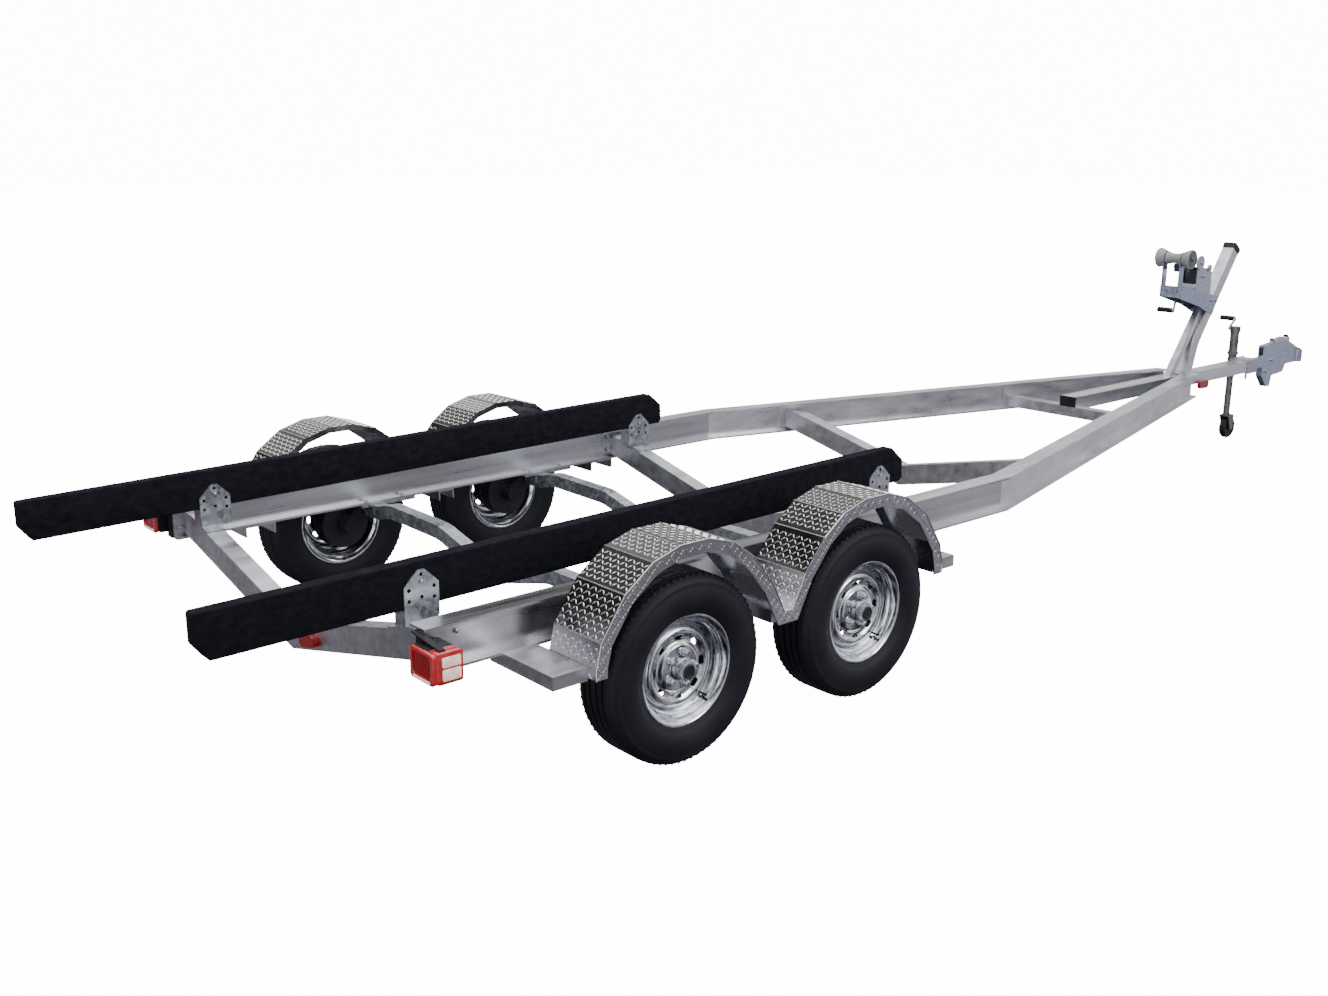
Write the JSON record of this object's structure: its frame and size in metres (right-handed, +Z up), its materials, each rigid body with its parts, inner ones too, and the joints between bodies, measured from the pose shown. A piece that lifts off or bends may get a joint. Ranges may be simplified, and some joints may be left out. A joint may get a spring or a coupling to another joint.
{
  "type": "boat trailer",
  "caption": "Tandem-axle aluminium boat trailer with I-beam rails converging to a tongue, carpeted bunks, fenders, bow roller, winch post and swing-up jack.",
  "frame": {"origin": "on the ground, under the middle of the trailer's overall box", "axes": "+X forward to the coupler, +Y to the trailer's left, +Z up"},
  "size_m": [8.459, 2.59, 1.3784],
  "materials": {
    "frame_aluminium": "mill-finish extruded aluminium",
    "tread_plate": "polished raised-pattern plate",
    "galvanised": "hot-dip galvanised, dull",
    "zinc": "bright zinc plate",
    "wheel_silver": "silver wheel paint",
    "drum_iron": "dark painted cast iron",
    "carpet": "dark pile carpet",
    "tyre_rubber": "worn matt black",
    "grey_rubber": "moulded grey rubber",
    "black_plastic": "moulded black",
    "red_lens": "ribbed red lens",
    "strap": "woven winch strap"
  },
  "bodies": {
    "chassis": {"rail_left": "frame_aluminium", "rail_right": "frame_aluminium", "crossmember_rear": "frame_aluminium", "crossmember_middle": "frame_aluminium", "crossmember_drop": "frame_aluminium", "crossmembers_front": "frame_aluminium", "tongue_tube": "frame_aluminium", "end_caps": "black_plastic", "axles": "galvanised", "torsion_arms": "galvanised", "fenders": "tread_plate", "fender_outriggers": "frame_aluminium", "bunks": "carpet", "bunk_brackets": "galvanised", "tail_lamps": "red_lens", "lamp_brackets": "black_plastic", "marker_lamps": "red_lens", "mast": "frame_aluminium", "mast_brace": "frame_aluminium", "winch_carriage": "galvanised", "winch_frame": "zinc", "winch_drum": "strap", "winch_crank": "zinc", "jack_clamp": "galvanised", "coupler_sleeve": "galvanised", "coupler_body": "galvanised", "coupler_latch": "zinc"},
    "wheel_rear_left": {"wheel_rim_rear_left": "wheel_silver", "tyre_rear_left": "tyre_rubber", "hub_rear_left": "drum_iron"},
    "wheel_rear_right": {"wheel_rim_rear_right": "wheel_silver", "tyre_rear_right": "tyre_rubber", "hub_rear_right": "drum_iron"},
    "wheel_front_left": {"wheel_rim_front_left": "wheel_silver", "tyre_front_left": "tyre_rubber", "hub_front_left": "drum_iron"},
    "wheel_front_right": {"wheel_rim_front_right": "wheel_silver", "tyre_front_right": "tyre_rubber", "hub_front_right": "drum_iron"},
    "jack_outer": {"jack_tube": "zinc", "jack_crank": "zinc"},
    "jack_inner": {"jack_leg": "zinc"},
    "jack_caster": {"jack_fork": "zinc"},
    "jack_caster_wheel": {"jack_wheel": "black_plastic"},
    "bow_roller": {"bow_roller": "grey_rubber"}
  },
  "joints": [
    {"name": "rear_left_wheel_spin", "type": "hinge", "parent": "chassis", "child": "wheel_rear_left", "pos_m": [-2.7665, 1.182, 0.332], "axis": [0, 1, 0], "continuous": true},
    {"name": "rear_right_wheel_spin", "type": "hinge", "parent": "chassis", "child": "wheel_rear_right", "pos_m": [-2.7665, -1.182, 0.332], "axis": [0, 1, 0], "continuous": true},
    {"name": "front_left_wheel_spin", "type": "hinge", "parent": "chassis", "child": "wheel_front_left", "pos_m": [-1.8775, 1.182, 0.332], "axis": [0, 1, 0], "continuous": true},
    {"name": "front_right_wheel_spin", "type": "hinge", "parent": "chassis", "child": "wheel_front_right", "pos_m": [-1.8775, -1.182, 0.332], "axis": [0, 1, 0], "continuous": true},
    {"name": "jack_swing", "type": "hinge", "parent": "chassis", "child": "jack_outer", "pos_m": [3.5235, 0.1, 0.538], "axis": [0, 1, 0], "range_deg": [0, 90]},
    {"name": "jack_extend", "type": "slide", "parent": "jack_outer", "child": "jack_inner", "axis": [0, 0, 1], "range_m": [-0.08, 0.15]},
    {"name": "jack_caster_swivel", "type": "hinge", "parent": "jack_inner", "child": "jack_caster", "pos_m": [3.5235, 0.132, 0.166], "axis": [0, 0, 1], "continuous": true},
    {"name": "jack_wheel_spin", "type": "hinge", "parent": "jack_caster", "child": "jack_caster_wheel", "pos_m": [3.5535, 0.132, 0.076], "axis": [0, 1, 0], "continuous": true},
    {"name": "bow_roller_spin", "type": "hinge", "parent": "chassis", "child": "bow_roller", "pos_m": [2.4015, 0, 1.312], "axis": [0, 1, 0], "continuous": true}
  ]
}
